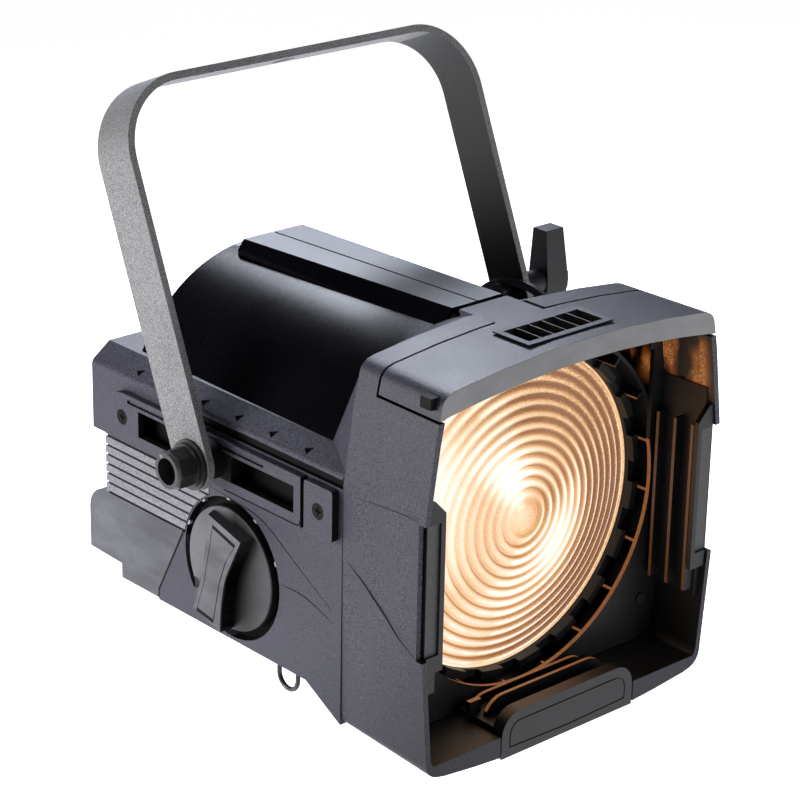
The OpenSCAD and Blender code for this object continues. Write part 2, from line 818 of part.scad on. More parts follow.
// Arch of the yoke above its straight legs
module yoke_outline(inset, r) {
    w = yoke_half_w - inset;
    h = yoke_r - inset;
    intersection() {
        union() {
            translate([-w + r, 0]) square([2 * (w - r), h]);
            translate([-w, 0]) square([2 * w, h - r]);
            both_outline() translate([w - r, h - r]) circle(r, $fn = 96);
        }
        translate([-w, leg_top]) square([2 * w, h]);
    }
}

module slide_block() {
    color("black") difference() {
        union() {
            box(body_half_w - track_depth + 0.3, body_half_w - 0.4, pivot_y - block_len / 2,
                pivot_y + block_len / 2, rail_z - 12.5, rail_z + 12.5);
            box(body_half_w - 1, rail_x + rail_t + 0.3, pivot_y - block_len / 2, pivot_y + block_len / 2,
                rail_z - slot_h / 2 + 0.3, rail_z + slot_h / 2 - 0.3);
        }
        rod_x(body_half_w - 10, body_half_w + 10, pivot_y, pivot_z, pivot_bolt_r);
    }
}

module pivot_bolt(end_x) {
    color("silver") rod_x(body_half_w - track_depth + 0.4, end_x, pivot_y, pivot_z, pivot_bolt_r);
}

module ring_x(x0, x1, r_in, r_out) {
    difference() {
        rod_x(x0, x1, pivot_y, pivot_z, r_out);
        rod_x(x0 - 1, x1 + 1, pivot_y, pivot_z, r_in);
    }
}

module spacer_left() {
    color("black") mirror([1, 0, 0]) ring_x(rail_x + rail_t + 0.4, yoke_inner_x - 0.2, pivot_bolt_r, 11);
}

module spacer_right() {
    color("black") union() {
        ring_x(rail_x + rail_t + 0.4, quadrant_x - 0.05, pivot_bolt_r, 11);
        ring_x(quadrant_x + quadrant_t + 0.05, yoke_inner_x - 0.2, pivot_bolt_r, 11);
    }
}

// Plate with an arc slot that the tilt lock clamps on
module tilt_quadrant() {
    a0 = -42;
    a1 = 103;
    color([0.25, 0.25, 0.27]) translate([0, pivot_y, pivot_z]) difference() {
        union() {
            intersection() {
                rod_x(quadrant_x, quadrant_x + quadrant_t, 0, 0, quadrant_r);
                sector(a0 - 8, a1 + 8, 90);
            }
            rod_x(quadrant_x, quadrant_x + quadrant_t, 0, 0, 15);
        }
        intersection() {
            difference() {
                rod_x(quadrant_x - 1, quadrant_x + 5, 0, 0, lock_r + lock_bolt_r + 0.35);
                rod_x(quadrant_x - 2, quadrant_x + 6, 0, 0, lock_r - lock_bolt_r - 0.35);
            }
            sector(a0, a1, 90);
        }
        rod_x(quadrant_x - 1, quadrant_x + 5, 0, 0, pivot_bolt_r);
    }
}

// Wedge of space around the tilt axis; angles are from upright towards the rear
module sector(a0, a1, r) {
    n = 8;
    side_prism(quadrant_x - 2, quadrant_x + 6) polygon(concat([[0, 0]],
        [for (i = [0 : n]) let (a = a0 + (a1 - a0) * i / n) [r * sin(a), r * cos(a)]]));
}

module pivot_nut_left() {
    color([0.1, 0.1, 0.1]) mirror([1, 0, 0]) difference() {
        union() {
            ring_x(yoke_half_w + 0.2, yoke_half_w + 2, pivot_bolt_r + 0.2, 13.6);
            ring_x(yoke_half_w + 2, yoke_half_w + 4.3, pivot_bolt_r + 0.2, 12);
            nut_x(yoke_half_w + 4.2, 9.8, pivot_y, pivot_z, 11, 8);
            rod_x(yoke_half_w + 13.9, yoke_half_w + 16, pivot_y, pivot_z, 9.4);
        }
        rod_x(yoke_half_w - 1, yoke_half_w + 8, pivot_y, pivot_z, pivot_bolt_r);
        rod_x(yoke_half_w + 7.9, yoke_half_w + 30, pivot_y, pivot_z, 7.2);
    }
}

module pivot_nut_right() {
    color([0.1, 0.1, 0.1]) difference() {
        union() {
            ring_x(yoke_half_w + 0.2, yoke_half_w + 1.8, pivot_bolt_r + 0.2, 11);
            nut_x(yoke_half_w + 1.7, 7, pivot_y, pivot_z, 9.2, 6);
        }
        rod_x(yoke_half_w - 1, yoke_half_w + 7.6, pivot_y, pivot_z, pivot_bolt_r);
    }
}

module tilt_lock_bolt() {
    color("silver") union() {
        rod_x(quadrant_x - 0.3, 140, lock_y, lock_z, lock_bolt_r);
        rod_x(quadrant_x - 3.2, quadrant_x - 0.2, lock_y, lock_z, 5.4);
    }
}

module tilt_lock_handle() {
    color([0.2, 0.2, 0.2]) difference() {
        union() {
            cone_x(yoke_half_w + 0.3, 2, lock_y, lock_z, 9, 9);
            cone_x(yoke_half_w + 2.2, 18, lock_y, lock_z, 7.8, 7.2);
            translate([0, lock_y, lock_z]) side_prism(142, 159) polygon([[-8, 0], [-5.4, 31.5], [5.4, 31.5],
                [8, 0], [5.4, -31.5], [-5.4, -31.5]]);
        }
        rod_x(yoke_half_w, 140.5, lock_y, lock_z, lock_bolt_r);
        // outer side of the grip slopes in towards both ends
        for (end = [0, 1]) translate([159, lock_y, lock_z]) mirror([0, 0, end]) rotate([0, -6, 0])
            translate([0, -20, 5]) cube([10, 40, 40]);
    }
}

// ---------- focus drive ----------

module focus_knob() {
    x_face = -body_half_w - 1.5;
    color("gray") translate([0, knob_y, -knob_z]) difference() {
        union() {
            rod_x(x_face, -body_half_w + 5.4, 0, 0, knob_r);
            intersection() {
                rod_x(x_face - 9, x_face + 1, 0, 0, knob_r - 1);
                side_prism(x_face - 9, x_face + 1) rotate(13.8)
                    polygon([[-11, -40], [11, -40], [14, 20], [2, 40], [-14, 40], [-13, 10]]);
            }
        }
        // seat of the inlay
        side_prism(x_face - 10, x_face - 7.8) rotate(13.8) inlay_outline(0);
        rod_x(-body_half_w, -80, 0, 0, 6);
    }
}

module inlay_outline(inset) {
    polygon([[-5 + inset, -25 + inset], [5 - inset, -25 + inset], [8.5 - inset, 16 - inset],
        [-7.5 + inset, 23 - inset]]);
}

module knob_inlay() {
    x_face = -body_half_w - 1.5;
    color("silver") translate([0, knob_y, -knob_z]) side_prism(x_face - 8.8, x_face - 7.8)
        rotate(13.8) inlay_outline(0.3);
}

module focus_shaft() {
    color("silver") rod_x(-body_half_w + 0.02, pinion_x + pinion_w + 3, knob_y, -knob_z, 6);
}

// Involute flank angle at radius r for a base circle rb, in degrees
function involute(rb, r) = let (q = sqrt(pow(r / rb, 2) - 1)) q * 180 / PI - atan(q);

module focus_pinion() {
    rb = pinion_r * cos(20);
    ra = pinion_r + gear_module;
    rf = pinion_r - 1.25 * gear_module;
    half = (rack_pitch / 2 - backlash) / 2 / pinion_r * 180 / PI;
    at_pitch = involute(rb, pinion_r);
    steps = 5;
    flank = [for (i = [0 : steps]) let (r = rb + (ra - rb) * i / steps)
        [r, half + at_pitch - involute(rb, r)]];
    color("goldenrod") difference() {
        translate([0, knob_y, -knob_z]) side_prism(pinion_x, pinion_x + pinion_w)
            polygon([for (t = [0 : pinion_teeth - 1]) let (c = t * 360 / pinion_teeth)
                each concat([polar(rf, c - flank[0][1])],
                    [for (i = [0 : steps]) polar(flank[i][0], c - flank[i][1])],
                    [for (i = [steps : -1 : 0]) polar(flank[i][0], c + flank[i][1])],
                    [polar(rf, c + flank[0][1])])]);
        rod_x(pinion_x - 1, pinion_x + pinion_w + 1, knob_y, -knob_z, 6);
    }
}

function polar(r, a) = [r * cos(a), r * sin(a)];

module shaft_collar() {
    color("black") difference() {
        rod_x(-body_half_w + 9.3, pinion_x - 0.1, knob_y, -knob_z, 9);
        rod_x(-110, -80, knob_y, -knob_z, 6);
    }
}

module focus_rack() {
    pitch_z = -knob_z - pinion_r;
    tip = (rack_pitch / 2 - backlash) / 2 - gear_module * tan(20);
    root = (rack_pitch / 2 - backlash) / 2 + 1.25 * gear_module * tan(20);
    top_z = pitch_z + gear_module;
    root_z = pitch_z - 1.25 * gear_module;
    first = -(rack_teeth - 1) / 2;
    end = (rack_teeth / 2 + 0.5) * rack_pitch;
    color("goldenrod") side_prism(pinion_x, pinion_x + pinion_w) polygon(concat(
        [[knob_y + end, root_z - 3], [knob_y - end, root_z - 3], [knob_y - end, root_z]],
        [for (i = [0 : rack_teeth - 1]) let (y = knob_y + (first + i) * rack_pitch)
            each [[y - root, root_z], [y - tip, top_z], [y + tip, top_z], [y + root, root_z]]],
        [[knob_y + end, root_z]]));
}

module rack_screws() {
    color("silver") for (y = [knob_y - 5, knob_y + 40])
        translate([pinion_x + pinion_w / 2, y, carriage_z - 8]) cylinder(h = 5, r = 2.4);
}

module lamp_carriage() {
    color("silver") difference() {
        union() {
            box(pinion_x, 60, knob_y - 12, carriage_y1, carriage_z - 3, carriage_z - 0.02);
            both_sides() rod_y(knob_y - 12, carriage_y1, rod_x, rod_z, 9);
        }
        both_sides() rod_y(120, 210, rod_x, rod_z, 7);
    }
}

module rod_bushes() {
    color("goldenrod") both_sides() for (y = [knob_y - 11, 182]) difference() {
        rod_y(y, y + 17, rod_x, rod_z, 7);
        rod_y(y - 1, y + 18, rod_x, rod_z, rod_r + running_gap);
    }
}

module guide_rods() {
    color("silver") both_sides() rod_y(rod_y0, rod_y1, rod_x, rod_z, rod_r);
}

module rod_bracket(y, low_z) {
    color("gray") difference() {
        box(-62, 62, y, y + 3, low_z, rod_z + 10);
        both_sides() rod_y(y - 1, y + 4, rod_x, rod_z, rod_r);
    }
}

module lamp_socket() {
    color("white") difference() {
        union() {
            translate([0, lamp_y, carriage_z]) cylinder(h = 6, r = 22);
            translate([0, lamp_y, carriage_z + 5.9]) cylinder(h = 20, r = 15);
        }
        translate([0, lamp_y, carriage_z + 14]) cylinder(h = 20, r = 9.6);
    }
}

module lamp_bulb() {
    color([0.9, 0.95, 1]) translate([0, lamp_y, 0]) difference() {
        union() {
            translate([0, 0, carriage_z + 14.2]) cylinder(h = 14, r = 9.4);
            translate([0, 0, carriage_z + 28]) cylinder(h = 18 - carriage_z - 28, r = 11);
            translate([0, 0, 18]) sphere(11);
        }
        translate([0, 0, -16]) cylinder(h = 32, r = 9.8);
    }
}

module lamp_filament() {
    color("gold") translate([0, lamp_y, 0]) for (i = [-2 : 2])
        translate([i * 2.4, 0, -5]) cylinder(h = 10, r = 0.8);
}

module reflector() {
    color("silver") translate([0, lamp_y, 0]) intersection() {
        difference() {
            sphere(42, $fn = 72);
            sphere(40.5, $fn = 72);
        }
        box(-60, 60, 15.5, 60, -60, 60);
    }
}

module reflector_bracket() {
    color("gray") difference() {
        box(-8, 8, 196, 199, carriage_z, -4);
        translate([0, lamp_y, 0]) sphere(42.2, $fn = 72);
    }
}

// ---------- nodes ----------

placed() yoke();
placed() on_side(-1) slide_block();  // slide_block_left
placed() on_side(1) slide_block();  // slide_block_right
placed() on_side(-1) pivot_bolt(yoke_half_w + 8);  // pivot_bolt_left
placed() on_side(1) pivot_bolt(yoke_half_w + 7.5);  // pivot_bolt_right
placed() spacer_left();
placed() spacer_right();
placed() tilt_quadrant();
placed() pivot_nut_left();
placed() pivot_nut_right();
placed() tilt_lock_bolt();
placed() tilt_lock_handle();
placed() main_housing();
placed() top_cover();
placed() front_hood();
placed() burner_housing();
placed() rear_cover();
placed() on_side(-1) rib_panel();  // rib_panel_left
placed() on_side(1) rib_panel();  // rib_panel_right
placed() on_side(-1) rail_plate();  // rail_plate_left
placed() on_side(1) rail_plate();  // rail_plate_right
placed() rail_screws();
placed() rear_cover_screws();
placed() cable_gland();
placed() wire_loop();
placed() hinge_bracket();
placed() lid_hinge_pin();
placed() lens_bulkhead();
placed() bulkhead_screws();
placed() lens_retainer();
placed() fresnel_lens();
placed() lens_gasket();
placed() on_side(-1) accessory_guide();  // accessory_guide_left
placed() on_side(1) accessory_guide();  // accessory_guide_right
placed() accessory_holder();
placed() rod_bracket(rod_y0, wall - belly_z + 0.02);  // rod_bracket_front
placed() rod_bracket(rod_y1 - 3, wall - 78.98);  // rod_bracket_rear
placed() guide_rods();
placed() accessory_lid();
placed() lid_hinge_leaf();
placed() lid_grille();
placed() lid_latch();
placed() latch_spring();
placed() latch_seat();
placed() focus_knob();
placed() knob_inlay();
placed() focus_shaft();
placed() focus_pinion();
placed() shaft_collar();
placed() lamp_carriage();
placed() rod_bushes();
placed() focus_rack();
placed() rack_screws();
placed() lamp_socket();
placed() lamp_bulb();
placed() lamp_filament();
placed() reflector();
placed() reflector_bracket();
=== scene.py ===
"""Fresnel spotlight on its yoke: materials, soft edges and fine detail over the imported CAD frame."""
import json
import math

import bmesh
import bpy
from mathutils import Matrix, Vector

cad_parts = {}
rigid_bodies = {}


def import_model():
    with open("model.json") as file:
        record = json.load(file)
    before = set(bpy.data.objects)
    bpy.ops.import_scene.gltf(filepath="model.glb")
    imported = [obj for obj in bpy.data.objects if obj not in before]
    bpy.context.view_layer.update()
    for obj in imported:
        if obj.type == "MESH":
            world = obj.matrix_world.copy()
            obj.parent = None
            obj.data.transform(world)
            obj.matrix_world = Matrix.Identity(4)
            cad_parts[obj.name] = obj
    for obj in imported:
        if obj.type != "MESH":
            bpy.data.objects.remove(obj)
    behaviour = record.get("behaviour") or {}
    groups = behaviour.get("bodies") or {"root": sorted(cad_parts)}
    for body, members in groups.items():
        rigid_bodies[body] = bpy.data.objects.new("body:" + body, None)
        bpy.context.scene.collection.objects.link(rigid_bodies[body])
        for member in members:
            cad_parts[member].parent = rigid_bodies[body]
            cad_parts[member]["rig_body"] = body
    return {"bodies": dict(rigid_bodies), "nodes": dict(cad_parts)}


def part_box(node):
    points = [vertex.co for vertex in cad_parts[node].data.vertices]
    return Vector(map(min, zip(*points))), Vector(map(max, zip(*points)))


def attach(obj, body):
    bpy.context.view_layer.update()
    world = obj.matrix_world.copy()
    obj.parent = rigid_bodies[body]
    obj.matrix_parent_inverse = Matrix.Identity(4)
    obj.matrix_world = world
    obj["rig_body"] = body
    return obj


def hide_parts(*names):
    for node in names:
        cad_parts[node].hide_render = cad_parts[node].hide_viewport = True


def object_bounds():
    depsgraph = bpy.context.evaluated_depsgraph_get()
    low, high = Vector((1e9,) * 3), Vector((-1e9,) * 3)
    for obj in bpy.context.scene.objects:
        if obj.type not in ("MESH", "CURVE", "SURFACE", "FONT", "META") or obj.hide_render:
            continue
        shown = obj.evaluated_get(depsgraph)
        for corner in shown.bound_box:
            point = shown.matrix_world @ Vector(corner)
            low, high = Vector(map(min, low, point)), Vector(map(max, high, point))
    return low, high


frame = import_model()
cad_low, cad_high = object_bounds()

# ---------- places, in mm from the lens axis at the front opening ----------

MM = 0.001
SIDES = ("left", "right")
lens_low, lens_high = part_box("fresnel_lens")
AXIS_Z = (lens_low.z + lens_high.z) / 2
FRONT_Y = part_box("front_hood")[0].y
SCENE = bpy.context.scene


def at(x, y, z):
    """The point in the frame for a place in mm"""
    return Vector((x * MM, FRONT_Y + y * MM, AXIS_Z + z * MM))


def in_mm(point):
    """The place in mm of a point in the frame"""
    return Vector((point.x, point.y - FRONT_Y, point.z - AXIS_Z)) / MM


def centre_mm(node):
    """The middle of a CAD node's box, in mm"""
    low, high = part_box(node)
    return in_mm((low + high) / 2)


KNOB = centre_mm("focus_shaft")
PIVOT = centre_mm("pivot_nut_left")
# the left side's flat surface
SIDE_X = in_mm(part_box("burner_housing")[0]).x

LENS_R = (lens_high.x - lens_low.x) / 2 / MM
LENS_RIM_THICKNESS = 9
LENS_BACK_Y = in_mm(lens_high).y
LENS_RIM_Y = LENS_BACK_Y - LENS_RIM_THICKNESS
LENS_CROWN = LENS_RIM_Y - in_mm(lens_low).y
LENS_RINGS = 14
LENS_HUB_R = 5
RING_PITCH = (LENS_R - LENS_HUB_R) / LENS_RINGS

# ---------- shader building ----------


class Wire:
    """A value in a shader. Its sums and products add Math nodes, so that patterns read as formulas."""

    def __init__(self, tree, socket):
        self.tree = tree
        self.socket = socket

    def math(self, operation, *others):
        """This value and the others through a Math node"""
        node = self.tree.nodes.new("ShaderNodeMath")
        node.operation = operation
        for slot, value in zip(node.inputs, (self, *others)):
            if isinstance(value, Wire):
                self.tree.links.new(value.socket, slot)
            else:
                slot.default_value = value
        return Wire(self.tree, node.outputs[0])

    def __add__(self, other):
        return self.math("ADD", other)

    def __sub__(self, other):
        return self.math("SUBTRACT", other)

    def __mul__(self, other):
        return self.math("MULTIPLY", other)

    def __pow__(self, other):
        return self.math("POWER", other)

    def rise(self, low, high):
        """Smooth step from 0 at low to 1 at high"""
        node = self.tree.nodes.new("ShaderNodeMapRange")
        node.interpolation_type = "SMOOTHSTEP"
        node.inputs["From Min"].default_value = low
        node.inputs["From Max"].default_value = high
        self.tree.links.new(self.socket, node.inputs["Value"])
        return Wire(self.tree, node.outputs["Result"])

    def fall(self, low, high):
        """Smooth step from 1 at low to 0 at high"""
        return self.rise(low, high) * -1.0 + 1

    def ramp(self, *stops):
        """Colour for this value, from stops (position, (r, g, b))"""
        node = self.tree.nodes.new("ShaderNodeValToRGB")
        line = node.color_ramp
        while len(line.elements) < len(stops):
            line.elements.new(0.5)
        for element, (position, colour) in zip(line.elements, stops):
            element.position = position
            element.color = (*colour, 1)
        self.tree.links.new(self.socket, node.inputs["Fac"])
        return Wire(self.tree, node.outputs["Color"])


class Paint:
    """A new material with one Principled shader, and the object's own coordinates to draw patterns in"""

    def __init__(self, name, **constants):
        self.material = bpy.data.materials.new(name)
        self.material.use_nodes = True
        self.tree = self.material.node_tree
        self.shader = self.tree.nodes["Principled BSDF"]
        self.coordinates = self.tree.nodes.new("ShaderNodeTexCoord").outputs["Object"]
        for socket, value in constants.items():
            self.shader.inputs[socket.replace("_", " ")].default_value = value

    def noise(self, size_mm, detail, stretch=(1, 1, 1)):
        """Noise whose grain is size_mm across"""
        scaled = self.tree.nodes.new("ShaderNodeMapping")
        scaled.inputs["Scale"].default_value = stretch
        self.tree.links.new(self.coordinates, scaled.inputs["Vector"])
        node = self.tree.nodes.new("ShaderNodeTexNoise")
        node.inputs["Scale"].default_value = 1 / (size_mm * MM)
        node.inputs["Detail"].default_value = detail
        self.tree.links.new(scaled.outputs["Vector"], node.inputs["Vector"])
        return Wire(self.tree, node.outputs["Fac"])

    def place(self):
        """x, y and z in mm from the lens axis at the front opening"""
        node = self.tree.nodes.new("ShaderNodeSeparateXYZ")
        self.tree.links.new(self.coordinates, node.inputs["Vector"])
        x, y, z = (Wire(self.tree, node.outputs[axis]) for axis in "XYZ")
        return x * (1 / MM), (y - FRONT_Y) * (1 / MM), (z - AXIS_Z) * (1 / MM)

    def feed(self, socket, wire):
        """Lets a pattern drive one of the shader's sockets"""
        self.tree.links.new(wire.socket, self.shader.inputs[socket])

    def relief(self, wire, depth_mm, strength):
        """Fine relief in the surface, from a pattern"""
        bump = self.tree.nodes.new("ShaderNodeBump")
        bump.inputs["Strength"].default_value = strength
        bump.inputs["Distance"].default_value = depth_mm * MM
        self.tree.links.new(wire.socket, bump.inputs["Height"])
        self.tree.links.new(bump.outputs["Normal"], self.shader.inputs["Normal"])


def powder_coat(name, dark, light, rough, grain_mm=0.6, depth_mm=0.08, cloud=0.35, shade=None,
                **constants):
    """Fine speckled coating: light flecks on a darker ground, with slow changes in tone and gloss.

    cloud is the slow changes' share of the tone, and shade(paint) gives a factor for the tone, which paints
    shade in.
    """
    paint = Paint(name, **constants)
    fleck = paint.noise(grain_mm, 3).rise(0.36, 0.66)
    slow = paint.noise(45, 4)
    tone = fleck * (1 - cloud) + slow * cloud
    if shade:
        tone = tone * shade(paint)
    paint.feed("Base Color", tone.ramp((0.15, dark), (0.85, light)))
    paint.feed("Roughness", slow * 0.16 + fleck * 0.08 + (rough - 0.12))
    paint.relief(fleck, depth_mm, 0.5)
    return paint.material


def coat_with_painted_shade(name, light, rough, low_z, high_z):
    """Speckled coating with painted shade: nearly black at its low end and lighter higher up"""
    paint = Paint(name, Roughness=rough, Specular_IOR_Level=0.12)
    _, _, z = paint.place()
    fleck = paint.noise(0.5, 3).rise(0.3, 0.7)
    tone = z.rise(low_z, high_z) * (fleck * 0.5 + 0.5)
    paint.feed("Base Color", tone.ramp((0.0, (0.002, 0.002, 0.002)), (1.0, light)))
    paint.relief(fleck, 0.06, 0.5)
    return paint.material


def painted_shade_low_front(paint):
    """Factor for a coating's tone, which paints shade in: it falls towards the lower front corner"""
    _, y, z = paint.place()
    lowest = 0.38
    return (z + y * 0.8).rise(-105, 15) * (1 - lowest) + lowest


def turned_metal(name, dark, light, rough):
    """Metal with fine tool marks"""
    paint = Paint(name, Metallic=1.0)
    marks = paint.noise(0.8, 3)
    stain = paint.noise(14, 3)
    paint.feed("Base Color", (marks * 0.5 + stain * 0.5).ramp((0.3, dark), (0.7, light)))
    paint.feed("Roughness", marks * 0.2 + (rough - 0.1))
    paint.relief(marks, 0.03, 0.4)
    return paint.material


def smudged_plastic(name, dark, light, rough, **constants):
    """Smooth moulding with faint wipe marks and handling smudges"""
    paint = Paint(name, **constants)
    smear = paint.noise(22, 6, (1, 0.6, 1.6))
    fine = paint.noise(0.5, 2)
    paint.feed("Base Color", (smear * 0.85 + fine * 0.15).ramp((0.36, dark), (0.66, light)))
    paint.feed("Roughness", smear * 0.3 + (rough - 0.15))
    paint.relief(fine, 0.03, 0.3)
    return paint.material


def lens_glow(name):
    """Lit lens with its glow painted in: rings of cream and tan with two hot spots, brown towards the rim"""
    paint = Paint(name, Roughness=0.16, Coat_Weight=0.35, Coat_Roughness=0.05,
                  Base_Color=(0.20, 0.13, 0.08, 1), Emission_Strength=1.0)
    x, _, z = paint.place()
    radius = (x * x + z * z) ** 0.5
    ring = ((radius - LENS_HUB_R) * (1 / RING_PITCH)).math("FRACT")

    def spot(cx, cz, spread):
        """Soft round spot of light, given its middle and its spread in mm"""
        across = (x - cx) * (1 / spread)
        up = (z - cz) * (1 / spread)
        return (across * across + up * up).math("MULTIPLY", -1.0).math("EXPONENT")

    # bright crests and dark grooves of the rings, which start outside the hub
    off_hub = radius.rise(6, 20)
    crest = ring.rise(0.0, 0.22) * ring.fall(0.3, 0.72) * off_hub
    groove = ring.rise(0.70, 0.82) * ring.fall(0.92, 1.0) * off_hub

    # painted crescent highlights on the crests: widest below the axis on the right, a second set above it
    bearing = z.math("ARCTAN2", x)
    sway = paint.noise(26, 2) - 0.5
    low_arc = (bearing + 0.75 + sway * 1.8).math("COSINE").rise(0.1, 1.0)
    high_arc = (bearing - 1.25 + sway * 2.4).math("COSINE").rise(0.2, 1.0)
    right = bearing.math("COSINE").rise(-0.55, 0.75)
    left = right * -1.0 + 1

    # soft light under the rings
    hot = spot(31, -13, 13) + spot(22, -28, 13) + spot(38, 4, 9) * 0.35
    pale = spot(-10, 25, 13) * 0.60 + spot(-60, 34, 26) * 0.55
    pale = pale + spot(-62, -8, 22) * 0.34 + spot(-6, 4, 10) * 0.25
    low = spot(4, -42, 26) * 0.42 + spot(-42, -62, 30) * 0.26 - spot(4, 56, 30) * 0.17

    stipple = paint.noise(0.7, 2).rise(0.36, 0.64)
    bright = hot + pale + low + 0.25
    bright = bright + left * (crest * 0.18 + 0.01) + crest * low_arc * 0.82 + crest * high_arc * 0.42
    bright = bright + radius.fall(40, 84) * 0.04 - right * radius.rise(26, 70) * 0.20 - groove * 0.12
    bright = bright + (stipple - 0.5) * (right * radius.rise(40, 76) * 0.34 + 0.10)
    # the grooves stay dark and the rim is lit
    bright = bright * (groove * (right * 0.10 - 0.58) + 1) + radius.rise(85.6, 87.2) * 0.5
    paint.feed("Emission Color", bright.ramp(
        (0.0, (0.11, 0.032, 0.008)), (0.16, (0.34, 0.13, 0.040)), (0.36, (0.66, 0.35, 0.15)),
        (0.56, (0.86, 0.60, 0.36)), (0.76, (0.97, 0.85, 0.67)), (0.95, (1.0, 0.98, 0.92))))
    paint.relief(stipple, 0.06, 0.4)
    return paint.material


def lit(name, colour, strength):
    """Dark surface that gives off light, slightly uneven in colour"""
    paint = Paint(name, Roughness=0.5, Base_Color=(0.01, 0.01, 0.01, 1), Emission_Strength=strength)
    brighter = tuple(min(1, part * 1.5) for part in colour)
    paint.feed("Emission Color", paint.noise(2, 1).ramp((0.3, colour), (0.8, brighter)))
    return paint.material


def wall_painted_glow(name):
    """Black inner wall whose upper part has a painted speckled orange glow, standing for light from the lens
    """
    paint = Paint(name, Roughness=0.5, Base_Color=(0.006, 0.006, 0.006, 1), Emission_Strength=0.55)
    _, y, z = paint.place()
    upper = z.rise(44, 62) * z.fall(86, 95) * y.rise(0, 8)
    streak = paint.noise(16, 3, (1, 1, 0.5)).rise(0.40, 0.60)
    speckle = paint.noise(0.9, 2).rise(0.3, 0.7)
    glow = upper * streak * (speckle * 0.6 + 0.4)
    paint.feed("Emission Color", glow.ramp(
        (0.0, (0, 0, 0)), (0.5, (0.30, 0.085, 0.014)), (1.0, (0.85, 0.33, 0.10))))
    return paint.material


def disc_with_painted_shadow(name):
    """The knob's grey plastic, with painted shadow that darkens it in the corner beside the grip's steep
    side
    """
    paint = Paint(name, Roughness=0.5, Specular_IOR_Level=0.22)
    _, y, _ = paint.place()
    behind_grip = (y - KNOB.y).rise(-6, 4)
    open_side = (y - KNOB.y).rise(-12, -34)
    smear = paint.noise(22, 6, (1, 0.6, 1.6)).rise(0.25, 0.75)
    # painted shadow: black beside the grip's steep side, lighter again towards the rim
    tone = behind_grip.math("MAXIMUM", open_side * 0.62) * (smear * 0.35 + 0.65)
    paint.feed("Base Color", tone.ramp((0.0, (0.003, 0.003, 0.003)), (1.0, (0.098, 0.098, 0.106))))
    paint.relief(paint.noise(0.5, 2), 0.03, 0.3)
    return paint.material


def clear_glass(name):
    """Clear glass with a faint haze"""
    paint = Paint(name, Transmission_Weight=1.0, IOR=1.47)
    haze = paint.noise(6, 3)
    paint.feed("Roughness", haze * 0.05)
    paint.feed("Base Color", haze.ramp((0.2, (0.93, 0.93, 0.9)), (0.8, (1, 1, 1))))
    return paint.material


# finishes of the CAD nodes, by the names of their material slots
MATERIALS = {
    # body paint with painted shade towards the lower front corner
    "body_paint": powder_coat("body_paint", (0.007, 0.007, 0.012), (0.075, 0.073, 0.098), rough=0.44,
                              grain_mm=0.45, depth_mm=0.1, cloud=0.2, shade=painted_shade_low_front,
                              Specular_IOR_Level=0.19),
    "box_paint": smudged_plastic("box_paint", (0.042, 0.042, 0.049), (0.098, 0.098, 0.112), rough=0.46,
                                 Specular_IOR_Level=0.25),
    "cover_shell": powder_coat("cover_shell", (0.0006, 0.0006, 0.001), (0.003, 0.003, 0.005), rough=0.28,
                               grain_mm=0.4, depth_mm=0.02, cloud=0.1, Specular_IOR_Level=0.028),
    "yoke_paint": powder_coat("yoke_paint", (0.075, 0.075, 0.077), (0.25, 0.25, 0.255), rough=0.48,
                              grain_mm=0.5, Specular_IOR_Level=0.2),
    "inner_black": powder_coat("inner_black", (0.002, 0.002, 0.0025), (0.009, 0.009, 0.0095), rough=0.44,
                               grain_mm=0.5, depth_mm=0.04, Specular_IOR_Level=0.3),
    "trim_black": powder_coat("trim_black", (0.005, 0.005, 0.006), (0.019, 0.019, 0.021), rough=0.42,
                              grain_mm=0.5, depth_mm=0.05, Specular_IOR_Level=0.25),
    "knob_grey": smudged_plastic("knob_grey", (0.044, 0.044, 0.050), (0.105, 0.105, 0.115), rough=0.50,
                                 Specular_IOR_Level=0.25),
    "screw_black": powder_coat("screw_black", (0.003, 0.003, 0.003), (0.014, 0.014, 0.015), rough=0.36,
                               grain_mm=0.4, depth_mm=0.03),
    "hardware": turned_metal("hardware", (0.32, 0.32, 0.33), (0.62, 0.62, 0.62), rough=0.30),
    "inner_metal": turned_metal("inner_metal", (0.34, 0.35, 0.36), (0.52, 0.53, 0.54), rough=0.42),
    "gear_brass": turned_metal("gear_brass", (0.45, 0.29, 0.08), (0.72, 0.52, 0.20), rough=0.32),
    "reflector_metal": turned_metal("reflector_metal", (0.75, 0.75, 0.74), (0.9, 0.9, 0.88), rough=0.16),
    "ceramic": smudged_plastic("ceramic", (0.55, 0.53, 0.48), (0.75, 0.73, 0.68), rough=0.6),
    "gasket": smudged_plastic("gasket", (0.012, 0.012, 0.012), (0.03, 0.03, 0.03), rough=0.8),
    "bulb_glass": clear_glass("bulb_glass"),
    "filament": lit("filament", (1.0, 0.55, 0.2), strength=12),
    "lens_glass": lens_glow("lens_glass"),
}

# finishes of chosen faces, several of them painted shade, glow or highlight
# black for painted shade in recesses, gaps and slots and on faces turned from the light, and for seam lines
SHADE_AND_SEAM_BLACK = smudged_plastic("shade_and_seam_black", (0.0008, 0.0008, 0.0008), (0.003, 0.003, 0.003), rough=0.75,
                             Specular_IOR_Level=0.15)
# pale grey for painted highlights on louvre tops and the cup's pips
PALE_HIGHLIGHT = smudged_plastic("pale_painted_highlight", (0.17, 0.17, 0.18), (0.30, 0.30, 0.32), rough=0.42)
BAND_GREY = smudged_plastic("band_grey", (0.11, 0.11, 0.113), (0.17, 0.17, 0.175), rough=0.50)
NUT_RING = smudged_plastic("nut_ring", (0.07, 0.07, 0.075), (0.16, 0.16, 0.17), rough=0.4)
